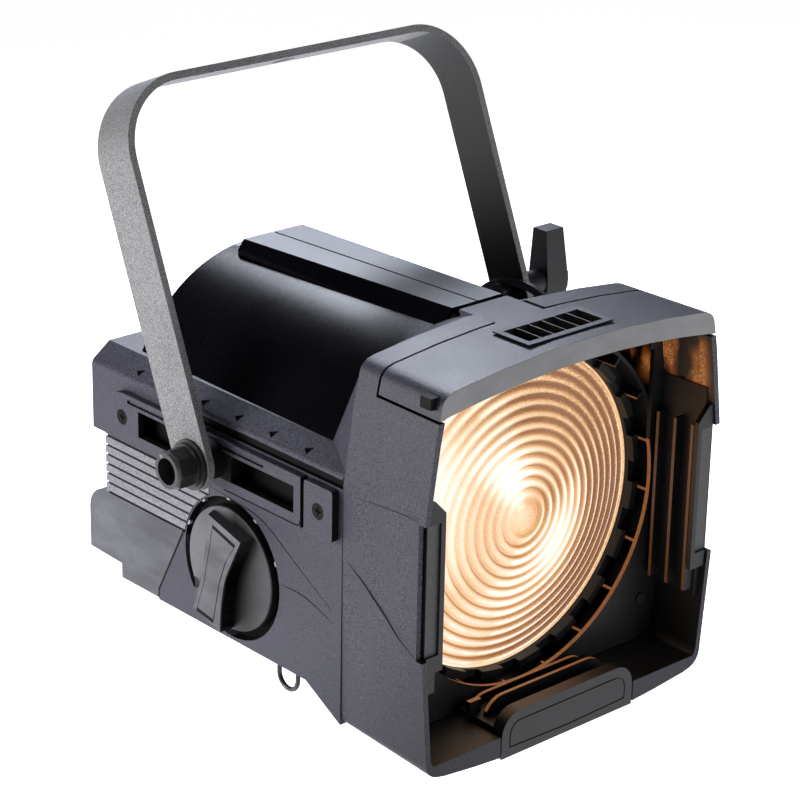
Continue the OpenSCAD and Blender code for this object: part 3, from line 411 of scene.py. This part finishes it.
# painted orange glow for edges near the lens, a strong and a faint one
EDGE_PAINTED_GLOW = lit("edge_painted_glow", (0.55, 0.17, 0.035), strength=0.32)
DIM_EDGE_PAINTED_GLOW = lit("dim_edge_painted_glow", (0.40, 0.11, 0.02), strength=0.14)
WALL_PAINTED_GLOW = wall_painted_glow("wall_painted_glow")
SPINE_PAINTED_SHEEN = powder_coat("spine_painted_sheen", (0.022, 0.024, 0.031), (0.064, 0.070, 0.090), rough=0.42,
                         grain_mm=0.5, Specular_IOR_Level=0.25)
YOKE_INSIDE_SHADE = coat_with_painted_shade("yoke_inside_painted_shade", (0.062, 0.062, 0.063), rough=0.5, low_z=40, high_z=200)
PANEL_BLACK = powder_coat("panel_black", (0.010, 0.010, 0.011), (0.032, 0.032, 0.034), rough=0.5)
RIB_GREY = powder_coat("rib_grey", (0.06, 0.06, 0.067), (0.21, 0.21, 0.235), rough=0.46, grain_mm=0.5)
DISC_PAINTED_SHADOW = disc_with_painted_shadow("disc_with_painted_shadow")

# ---------- building pieces ----------

# degrees between two faces from which their edge is sharp
CREASE_ANGLE = 32
# radius in mm of a turned profile's points on its axis
NEAR_AXIS = 0.01


def piece(name, bm, material, body, replaces=(), sharp=CREASE_ANGLE):
    """Turns a bmesh into a piece that rides on a body. Edges steeper than sharp degrees stay sharp"""
    mesh = bpy.data.meshes.new(name)
    bm.to_mesh(mesh)
    bm.free()
    for layer in [layer for layer in mesh.attributes if layer.name == "custom_normal"]:
        mesh.attributes.remove(layer)
    mesh.materials.clear()
    mesh.materials.append(material)
    mesh.shade_smooth()
    mesh.set_sharp_from_angle(angle=math.radians(sharp))
    obj = bpy.data.objects.new(name, mesh)
    SCENE.collection.objects.link(obj)
    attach(obj, body)
    if replaces:
        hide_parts(*replaces)
    return obj


def bevel(obj, width, segments=2):
    """Rounds the piece's edges to width mm"""
    edge = obj.modifiers.new("soft_edges", "BEVEL")
    edge.width = width * MM
    edge.segments = segments
    edge.limit_method = "ANGLE"
    edge.angle_limit = math.radians(CREASE_ANGLE)
    edge.harden_normals = True
    return obj


def paint_where(obj, material, test):
    """Gives a second material to the faces whose centre and normal pass a test; places are in mm"""
    obj.data.materials.append(material)
    index = len(obj.data.materials) - 1
    for face in obj.data.polygons:
        if test(in_mm(face.center), face.normal):
            face.material_index = index
    return obj


def softened(node, width, segments=2, material=None, rounder=None, rounder_width=0):
    """Copy of a CAD node with its edges rounded to width mm, which stands for it.

    A given material takes the place of the node's own. Edges that pass the test rounder are rounded
    to rounder_width first.
    """
    source = frame["nodes"][node]
    bm = bmesh.new()
    bm.from_mesh(source.data)
    bmesh.ops.remove_doubles(bm, verts=bm.verts, dist=0.01 * MM)
    bmesh.ops.dissolve_limit(bm, angle_limit=math.radians(1.5), verts=bm.verts, edges=bm.edges)
    if rounder:
        wide = [edge for edge in bm.edges if rounder(*(in_mm(end.co) for end in edge.verts))]
        bmesh.ops.bevel(bm, geom=wide, offset=rounder_width * MM, segments=5, profile=0.5, affect="EDGES",
                        clamp_overlap=True)
    slot = source.material_slots[0].material.name
    obj = piece(node + "_finished", bm, material or MATERIALS[slot], source["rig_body"], [node])
    return bevel(obj, width, segments)


def prism(outline, low_x, high_x):
    """An outline of (y, z) points carried along X"""
    bm = bmesh.new()
    ends = [[bm.verts.new(at(x, y, z)) for y, z in outline] for x in (low_x, high_x)]
    bm.faces.new(reversed(ends[0]))
    bm.faces.new(ends[1])
    for i in range(len(outline)):
        j = (i + 1) % len(outline)
        bm.faces.new((ends[0][i], ends[0][j], ends[1][j], ends[1][i]))
    bmesh.ops.recalc_face_normals(bm, faces=bm.faces)
    return bm


def loft(sections, closed=False):
    """Skin over equal lists of points, capped at its ends unless it closes on itself"""
    bm = bmesh.new()
    rows = [[bm.verts.new(point) for point in section] for section in sections]
    pairs = list(zip(rows, rows[1:])) + ([(rows[-1], rows[0])] if closed else [])
    for a, b in pairs:
        for i in range(len(a)):
            j = (i + 1) % len(a)
            bm.faces.new((a[i], a[j], b[j], b[i]))
    if not closed:
        bm.faces.new(reversed(rows[0]))
        bm.faces.new(rows[-1])
    bmesh.ops.recalc_face_normals(bm, faces=bm.faces)
    return bm


def round_angles(count):
    """Evenly spaced angles round a circle"""
    return [2 * math.pi * k / count for k in range(count)]


def smooth_line(points, steps=8):
    """Points along a curve that passes through the given ones"""
    ends = [points[0], *points, points[-1]]
    line = []
    for a, b, c, d in zip(ends, ends[1:], ends[2:], ends[3:]):
        for k in range(steps):
            t = k / steps
            line.append(tuple(0.5 * (2 * q + (r - p) * t + (2 * p - 5 * q + 4 * r - s) * t * t
                                     + (3 * q - p - 3 * r + s) * t ** 3)
                              for p, q, r, s in zip(a, b, c, d)))
    return [*line, tuple(points[-1])]


def hood_side_x(y):
    """Where the hood's flat left side is at a depth y: it leans out by 1 mm over 61 mm towards the front"""
    return SIDE_X - 1 + y / 61


def crease(name, points, width, side_x=lambda y: SIDE_X, curved=True):
    """Thin dark line, width mm wide, through (y, z) points on the left surface side_x(y), for seams and for
    painted shade along creases and edges.

    A curved line is smoothed and gets thinner towards both ends.
    """
    proud, sunk = -0.06, 0.05
    thinnest = 0.25
    line = smooth_line(points) if curved else points
    bm = bmesh.new()
    rows = []
    for i, (y, z) in enumerate(line):
        before, after = line[max(i - 1, 0)], line[min(i + 1, len(line) - 1)]
        run = Vector((after[0] - before[0], after[1] - before[1])).normalized()
        fade = max(thinnest, math.sin(math.pi * i / (len(line) - 1))) if curved else 1
        half = width / 2 * fade
        across = Vector((-run.y, run.x)) * half
        x = side_x(y)
        rows.append([bm.verts.new(at(x + inset, y + side * across.x, z + side * across.y))
                     for side, inset in ((-1, sunk), (-1, proud), (1, proud), (1, sunk))])
    for a, b in zip(rows, rows[1:]):
        for k in range(3):
            bm.faces.new((a[k], a[k + 1], b[k + 1], b[k]))
    bmesh.ops.recalc_face_normals(bm, faces=bm.faces)
    piece(name, bm, SHADE_AND_SEAM_BLACK, "housing")


# ---------- yoke and tilt hardware ----------

NUT_FACE_X = in_mm(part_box("pivot_nut_left")[0]).x


def right_leg_inside(centre, normal):
    """Inner face of the yoke's right leg, which gets painted shade"""
    return normal.x < -0.3 and centre.x > 60


def nut_end_ring(centre, normal):
    """Outer part of the nut's end face and its rounded rim"""
    return centre.x < NUT_FACE_X + 2.4 and (centre - PIVOT).yz.length > 7.6


# painted shade on the right leg's inner face, darker towards the bottom
paint_where(softened("yoke", 0.7, segments=3), YOKE_INSIDE_SHADE, right_leg_inside)
for side in SIDES:
    # slide blocks and spacers in black, painted shade in the slot and round the pivot
    softened(f"slide_block_{side}", 0.4, material=SHADE_AND_SEAM_BLACK)
    softened(f"spacer_{side}", 0.4, material=SHADE_AND_SEAM_BLACK)
paint_where(softened("pivot_nut_left", 0.45, material=MATERIALS["screw_black"]), NUT_RING, nut_end_ring)
softened("pivot_nut_right", 0.4)
softened("tilt_quadrant", 0.4)
softened("tilt_lock_bolt", 0.3)
softened("tilt_lock_handle", 1.6, segments=3)

# ---------- housing ----------

CUP_R = 40.5


def in_recess(centre, normal):
    """Faces below the sides' surface, which get painted shade: rail tracks, knob's cup, shoulder notches and
    ribs' pockets
    """
    depth = abs(SIDE_X) - abs(centre.x)
    in_track = 60 < centre.y < 236 and 6 < centre.z < 42
    beside_box = centre.y > KNOB.y and centre.z < KNOB.z + 14
    in_cup = centre.x < 0 and (centre - KNOB).yz.length < CUP_R and not beside_box
    # distance from the lens axis, roughly along the sloped shoulder's normal
    under_slope = 0.6 * abs(centre.x) + 0.8 * centre.z < 96.4
    in_notch = under_slope and 44 < centre.z < 50 and 93 < abs(centre.x) < 103 and 85 < centre.y < 240
    in_rib_pocket = abs(centre.z + 14) < 19 and 160 < centre.y < 262 and 0.3 < depth < 4
    return (0.3 < depth < 18 and (in_track or in_cup)) or in_notch or in_rib_pocket


def lid_gap_shade(centre, normal):
    """Narrow faces on both sides of the gap under and behind the lid, painted as shade in the gap"""
    level = abs(normal.z) > 0.9 and 86 < centre.z < 91 and centre.y < 47
    upright = abs(normal.y) > 0.9 and 44 < centre.y < 47 and centre.z > 86
    return level or upright


def faces_in(centre, normal):
    """Inner faces of the hood and the lid"""
    outward = Vector((centre.x, centre.z)).normalized()
    return outward.dot(Vector((normal.x, normal.z))) < -0.15


def shoulder_edge(start, end):
    """Long outer edges between the body's sides and its sloped shoulders"""
    outer = min(abs(start.x), abs(end.x)) > abs(SIDE_X) - 1.2
    return outer and abs(start.y - end.y) > 8 and min(start.z, end.z) > 42.5 and max(start.z, end.z) < 50


def spine_top(centre, normal):
    """Top of the cover's raised spine, lighter for a painted sheen of the top light"""
    return normal.z > 0.9 and abs(centre.x) < 16 and centre.z > 80


def hood_right_wall(centre, normal):
    """Inner face of the hood's right wall"""
    return normal.x < -0.7 and 80 < centre.x < 102 and centre.z > -60


def between_ribs(centre, normal):
    """The rib panel's faces below the ribs' outer faces, painted as shade between the ribs"""
    return abs(centre.x) < abs(SIDE_X) - 0.9


def below_rail_face(centre, normal):
    """Walls of the rail plate's slot, groove and screw seats, and its faces to the front, painted as shade
    """
    inside = 92 < centre.y < 235 and 12 < centre.z < 33.5
    in_screw_seat = abs(centre.z - 21) < 4.6 and min(abs(centre.y - 75), abs(centre.y - 238)) < 4.6
    return (inside and abs(normal.x) < 0.5) or (in_screw_seat and abs(normal.x) < 0.95) or normal.y < -0.8


housing = softened("main_housing", 0.7, rounder=shoulder_edge, rounder_width=1.9)
# painted shade in the sides' recesses
paint_where(housing, SHADE_AND_SEAM_BLACK, in_recess)
# painted sheen on the top of the cover's spine
paint_where(softened("top_cover", 0.8, segments=3), SPINE_PAINTED_SHEEN, spine_top)
hood = paint_where(softened("front_hood", 0.8, segments=3), MATERIALS["inner_black"], faces_in)
# painted shade in the gap under the lid
paint_where(hood, SHADE_AND_SEAM_BLACK, lid_gap_shade)
# painted orange glow on the hood's right inner wall
paint_where(hood, WALL_PAINTED_GLOW, hood_right_wall)
softened("burner_housing", 1.4, segments=3)
softened("rear_cover", 0.6)
softened("cable_gland", 0.4)
softened("wire_loop", 0.1, material=MATERIALS["screw_black"])
softened("rear_cover_screws", 0.2)
softened("rail_screws", 0.15, material=SHADE_AND_SEAM_BLACK)
for side in SIDES:
    # painted shade between the ribs
    paint_where(softened(f"rib_panel_{side}", 0.5, material=RIB_GREY), SHADE_AND_SEAM_BLACK, between_ribs)
    # painted shade in the rail plate's slot and on its faces to the front
    paint_where(softened(f"rail_plate_{side}", 0.6), SHADE_AND_SEAM_BLACK, below_rail_face)

RAIL_FACE_X = in_mm(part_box("rail_plate_left")[0]).x
# painted shadow line under the rail plate's lower edge
crease("rail_shadow_line", [(88.6, 11), (89.3, 8.7), (91.5, 7.9), (150, 7.9)], 0.9, lambda y: RAIL_FACE_X,
       curved=False)
# painted shade along the embossed creases of the side
crease("side_crease_upper", [(167.7, 2.6), (146, 1), (123, -2.6), (94.5, -18.5), (68.5, -33)], 0.7)
crease("side_crease_lower", [(110, -33), (90, -33), (67.7, -39.7)], 0.7)
crease("box_seam", [(191, -32.6), (213.2, -74), (213.2, -78.6)], 1.1, curved=False)
# painted shade along the hood's creases
crease("hood_crease_long", [(57, -2), (46.6, -7.5), (38.2, -13.2), (27.6, -20.7), (17.8, -28.5), (5.5, -35)],
       0.9, hood_side_x)
crease("hood_crease_faint", [(53.4, 35), (37, 36.8), (19, 38.2), (5, 38.6)], 0.35, hood_side_x)

# ---------- lid ----------

GRILLE_TOP_Z = in_mm(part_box("lid_grille")[1]).z


def lid_front(centre, normal):
    """Front face of the lid"""
    return normal.y < -0.9 and centre.y < 1


def grille_rim(centre, normal):
    """The grille's faces at its top level"""
    return centre.z > GRILLE_TOP_Z - 0.3


def louvre_top(centre, normal):
    """Top edges of the grille's louvres, a little lower, with a painted highlight"""
    return normal.z > 0.9 and 0.3 < GRILLE_TOP_Z - centre.z < 2


lid = paint_where(softened("accessory_lid", 0.6), MATERIALS["inner_black"], faces_in)
paint_where(lid, BAND_GREY, lid_front)
# painted shade in the gap under the lid
paint_where(lid, SHADE_AND_SEAM_BLACK, lid_gap_shade)
softened("lid_hinge_leaf", 0.5)
softened("lid_latch", 0.4, material=SHADE_AND_SEAM_BLACK)
# the grille black as painted shade in its slots, with its rim in body paint
grille = paint_where(softened("lid_grille", 0.25, material=SHADE_AND_SEAM_BLACK), MATERIALS["body_paint"], grille_rim)
paint_where(grille, PALE_HIGHLIGHT, louvre_top)

# ---------- optics ----------


def towards_lens(centre, normal):
    """Faces round the lens that look at its axis: the ring's inner edge and its webs' inner ends"""
    out = centre.xz.normalized()
    return 90 < centre.xz.length < 93.4 and 34 < centre.y < 51 and out.dot(normal.xz) < -0.7


def fin_edge(centre, normal):
    """Narrow inner edges of the guides' fins"""
    return abs(centre.x) < 92.5 and abs(normal.x) > 0.9 and centre.y > 5


def holder_edge(centre, normal):
    """Top edges of the holder's rear fins"""
    return normal.z > 0.5 and centre.y > 14 and centre.z > -90


def guide_face(centre, normal):
    """Front faces of the guides beside the hood's walls"""
    return normal.y < -0.9 and 2 < centre.y < 3 and abs(centre.x) > 92


# edges that face the lens get a painted orange glow
paint_where(softened("lens_bulkhead", 0.3), EDGE_PAINTED_GLOW, towards_lens)
softened("bulkhead_screws", 0.3)
softened("lens_retainer", 0.4)
for side in SIDES:
    guide = paint_where(softened(f"accessory_guide_{side}", 0.5), DIM_EDGE_PAINTED_GLOW, fin_edge)
    paint_where(guide, PANEL_BLACK, guide_face)
paint_where(softened("accessory_holder", 0.6), EDGE_PAINTED_GLOW, holder_edge)


def fresnel_lens():
    """Stepped lens on a low crown, with a convex slope on each ring"""
    # each ring's slope: share of the pitch, and mm behind the crown's surface
    slope = ((0, 0), (0.3, 0.4), (0.55, 1.1), (0.78, 2.1), (0.84, 2.1))

    def front(r):
        return LENS_RIM_Y - LENS_CROWN * (1 - (r / LENS_R) ** 2)

    profile = [(NEAR_AXIS, front(0)), (LENS_HUB_R * 0.6, front(0) + 0.1)]
    for i in range(LENS_RINGS):
        for share, step in slope:
            r = LENS_HUB_R + RING_PITCH * (i + share)
            profile.append((r, front(r) + step))
    profile += [(LENS_R, front(LENS_R)), (LENS_R, LENS_BACK_Y), (NEAR_AXIS, LENS_BACK_Y)]
    sections = [[at(r * math.cos(a), y, r * math.sin(a)) for r, y in profile] for a in round_angles(160)]
    piece("fresnel_lens_lit", loft(sections, closed=True), MATERIALS["lens_glass"], "housing",
          ["fresnel_lens"], sharp=50)


fresnel_lens()

# ---------- focus knob ----------

knob_low, knob_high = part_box("focus_knob")
KNOB_TOP_X = in_mm(knob_low).x
KNOB_BACK_X = in_mm(knob_high).x
KNOB_R = (knob_high.y - knob_low.y) / 2 / MM
CUP_RIM_R = 38.9


def beside_knob(x, u, v):
    """The point at a depth x, u behind the knob's axis and v above it, in mm"""
    return at(x, KNOB.y + u, KNOB.z + v)


def knob_disc():
    """Round disc with a rounded rim, set in its cup"""
    bore_r = 6.2
    bore_end_x = SIDE_X + 0.1
    face_x = SIDE_X - 1.5
    profile = [(bore_r, KNOB_BACK_X), (KNOB_R, KNOB_BACK_X), (KNOB_R, face_x + 1),
               (KNOB_R - 0.3, face_x + 0.3), (KNOB_R - 1, face_x), (NEAR_AXIS, face_x),
               (NEAR_AXIS, bore_end_x), (bore_r, bore_end_x)]
    sections = [[beside_knob(x, r * math.cos(a), r * math.sin(a)) for r, x in profile]
                for a in round_angles(96)]
    disc = piece("focus_knob_disc", loft(sections, closed=True), DISC_PAINTED_SHADOW, "focus_knob",
                 ["focus_knob"])
    # painted shade on the disc's rounded side
    paint_where(disc, SHADE_AND_SEAM_BLACK, lambda centre, normal: abs(normal.x) < 0.3)


def along(points, share):
    """Point at a share of the way along a line of points"""
    place = share * (len(points) - 1)
    k = min(int(place), len(points) - 2)
    t = place - k
    return tuple(p + (q - p) * t for p, q in zip(points[k], points[k + 1]))


def knob_grip():
    """Finger grip: steep serrated side towards the front, slope with a toothed foot towards the rear"""
    foot_x = SIDE_X - 1.2
    # edges of the grip's top and of its foot: (mm behind the knob's axis, mm above it), from above down
    front_edge = smooth_line([(-21.0, 25.0), (-13.3, 10.2), (-8.5, 0.2), (-6.1, -8.9), (-4.2, -20.6),
                              (-3.6, -32.6)])
    rear_edge = smooth_line([(6.3, 32.0), (8.0, 20), (10.0, 6), (12.6, -8), (16.0, -20), (19.3, -26.8)])
    rear_foot = smooth_line([(13.6, 29.6), (16.2, 18), (18.6, 4), (22.4, -8), (27.0, -17), (30.2, -13.9)])
    # one tooth on every second row
    rows = 110
    tooth_depth = 0.55
    sections = []
    for k in range(rows + 1):
        share = k / rows
        tooth = tooth_depth if k % 2 and 0.12 < share < 0.96 else 0
        front_u, front_v = along(front_edge, share)
        rear_u, rear_v = along(rear_edge, share)
        foot_u, foot_v = along(rear_foot, share)
        slope_u, slope_v = foot_u + (rear_u - foot_u) * 0.35, foot_v + (rear_v - foot_v) * 0.35
        sections.append([
            beside_knob(foot_x, front_u - tooth, front_v),
            beside_knob(KNOB_TOP_X + 0.5, front_u - tooth, front_v),
            beside_knob(KNOB_TOP_X, front_u + 0.5, front_v),
            beside_knob(KNOB_TOP_X, rear_u, rear_v),
            beside_knob(foot_x - 3.0, slope_u, slope_v),
            beside_knob(foot_x - 2.2, slope_u + 0.4 - tooth, slope_v),
            beside_knob(foot_x, foot_u, foot_v),
        ])
    grip = piece("focus_knob_grip", loft(sections), MATERIALS["knob_grey"], "focus_knob",
                 sharp=24)
    # painted shade on the grip's steep front side
    paint_where(grip, SHADE_AND_SEAM_BLACK, lambda centre, normal: normal.y < -0.45)


def knob_panel():
    """Inset panel on the grip's top, with a dark line round it"""
    # (mm behind the knob's axis, mm above it)
    corners = [(2.6, 27.4), (-16.4, 22.0), (-8.6, 10.1), (-3.1, -4.2), (2.6, -29.7), (17.0, -27.5),
               (10.2, -8), (6.2, 10)]
    # the panel's outline shrinks towards this place on the axis's level
    middle_u = 1.5
    proud = 0.08
    for name, grow, height, material, replaced in (
            ("knob_panel_line", 1.0, 0.0, SHADE_AND_SEAM_BLACK, ()),
            ("knob_panel", 0.92, 0.03, MATERIALS["knob_grey"], ["knob_inlay"])):
        outline = [(KNOB.y + middle_u + (u - middle_u) * grow, KNOB.z + v * grow) for u, v in corners]
        bm = prism(outline, KNOB_TOP_X - proud - height, KNOB_TOP_X + 0.5)
        piece(name, bm, material, "focus_knob", replaced)


def detent_marks():
    """Small pips on the rim of the knob's cup, pale for painted glints"""
    half_length, half_width = 1.5, 0.6
    for i, degrees in enumerate((21, 53, 86, 120, 157)):
        a = math.radians(degrees)
        out = Vector((math.cos(a), math.sin(a)))
        tangent = Vector((-out.y, out.x))
        middle = Vector((KNOB.y, KNOB.z)) + out * CUP_RIM_R
        outline = [tuple(middle + tangent * half_length * math.cos(t) + out * half_width * math.sin(t))
                   for t in round_angles(16)]
        bm = prism(outline, SIDE_X + 0.05, SIDE_X + 2.2)
        bevel(piece(f"detent_mark_{i + 1}", bm, PALE_HIGHLIGHT, "housing"), 0.2)


knob_disc()
knob_grip()
knob_panel()
detent_marks()

# ---------- materials of the CAD nodes that stay ----------

for node in frame["nodes"].values():
    if not node.hide_render:
        for used in node.material_slots:
            used.material = MATERIALS[used.material.name]

# ---------- floor, lights and camera ----------

# in metres
MIDDLE = (cad_low + cad_high) / 2
FLOOR_DROP = 0.13
FLOOR_SIZE = 60


def floor():
    """Pale plain floor a little below the object"""
    paint = Paint("floor", Roughness=0.9, Emission_Color=(1, 1, 1, 1), Emission_Strength=0.86)
    paint.feed("Base Color", paint.noise(300, 2).ramp((0.3, (0.86, 0.86, 0.87)), (0.7, (0.9, 0.9, 0.9))))
    bpy.ops.mesh.primitive_plane_add(size=FLOOR_SIZE, location=(0, 0, cad_low.z - FLOOR_DROP))
    plane = bpy.context.object
    plane.name = "floor"
    plane.data.materials.append(paint.material)


def area_light(name, shape, power, colour):
    """A new area light, not yet placed"""
    data = bpy.data.lights.new(name, "AREA")
    data.shape = shape
    data.energy = power
    data.color = colour
    lamp = bpy.data.objects.new(name, data)
    SCENE.collection.objects.link(lamp)
    return lamp


def softbox(name, direction, distance, size, power, colour=(1, 1, 1)):
    """Rectangular light in a direction from the object's middle, facing it; lengths in metres"""
    lamp = area_light(name, "RECTANGLE", power, colour)
    lamp.data.size, lamp.data.size_y = size
    away = Vector(direction).normalized()
    lamp.location = MIDDLE + away * distance
    lamp.rotation_euler = away.to_track_quat("Z", "Y").to_euler()


def lamp_light():
    """Warm light that the lit lens throws on the inside of the hood"""
    lamp = area_light("lamp_glow", "DISK", 0.05, (1.0, 0.42, 0.13))
    lamp.data.size = 150 * MM
    lamp.location = at(0, 33, 0)
    lamp.rotation_euler = (math.radians(-90), 0, 0)
    lamp.parent = frame["bodies"]["housing"]


def world():
    """Faint cool light from all around"""
    SCENE.world = bpy.data.worlds.new("studio")
    SCENE.world.use_nodes = True
    background = SCENE.world.node_tree.nodes["Background"]
    background.inputs["Color"].default_value = (0.93, 0.96, 1.0, 1)
    background.inputs["Strength"].default_value = 0.14


def camera():
    """Camera that looks at the object from the front left and a little above"""
    place = Vector((-0.9099, -1.0978, 0.3619))
    azimuth, elevation, roll = (math.radians(a) for a in (-42.37, 21.52, 1.18))
    back = Vector((math.sin(azimuth) * math.cos(elevation), -math.cos(azimuth) * math.cos(elevation),
                   math.sin(elevation)))
    level = Vector((math.cos(azimuth), math.sin(azimuth), 0))
    up = back.cross(level)
    right = level * math.cos(roll) + up * math.sin(roll)
    data = bpy.data.cameras.new("camera")
    data.lens = 121.8
    data.sensor_width = 36
    eye = bpy.data.objects.new("camera", data)
    turn = Matrix((right, back.cross(right), back)).transposed()
    eye.matrix_world = Matrix.Translation(place) @ turn.to_4x4()
    SCENE.collection.objects.link(eye)
    SCENE.camera = eye


floor()
softbox("key_left", (-0.90, 0.36, 0.10), distance=0.62, size=(0.30, 0.30), power=3.7)
softbox("front_fill", (0.30, -1.0, 0.25), distance=1.6, size=(0.9, 0.7), power=8.5)
softbox("back_top", (0.40, 0.68, 0.61), distance=1.3, size=(0.5, 0.30), power=25, colour=(0.84, 0.89, 1.0))
lamp_light()
world()
camera()
SCENE.view_settings.view_transform = "Standard"
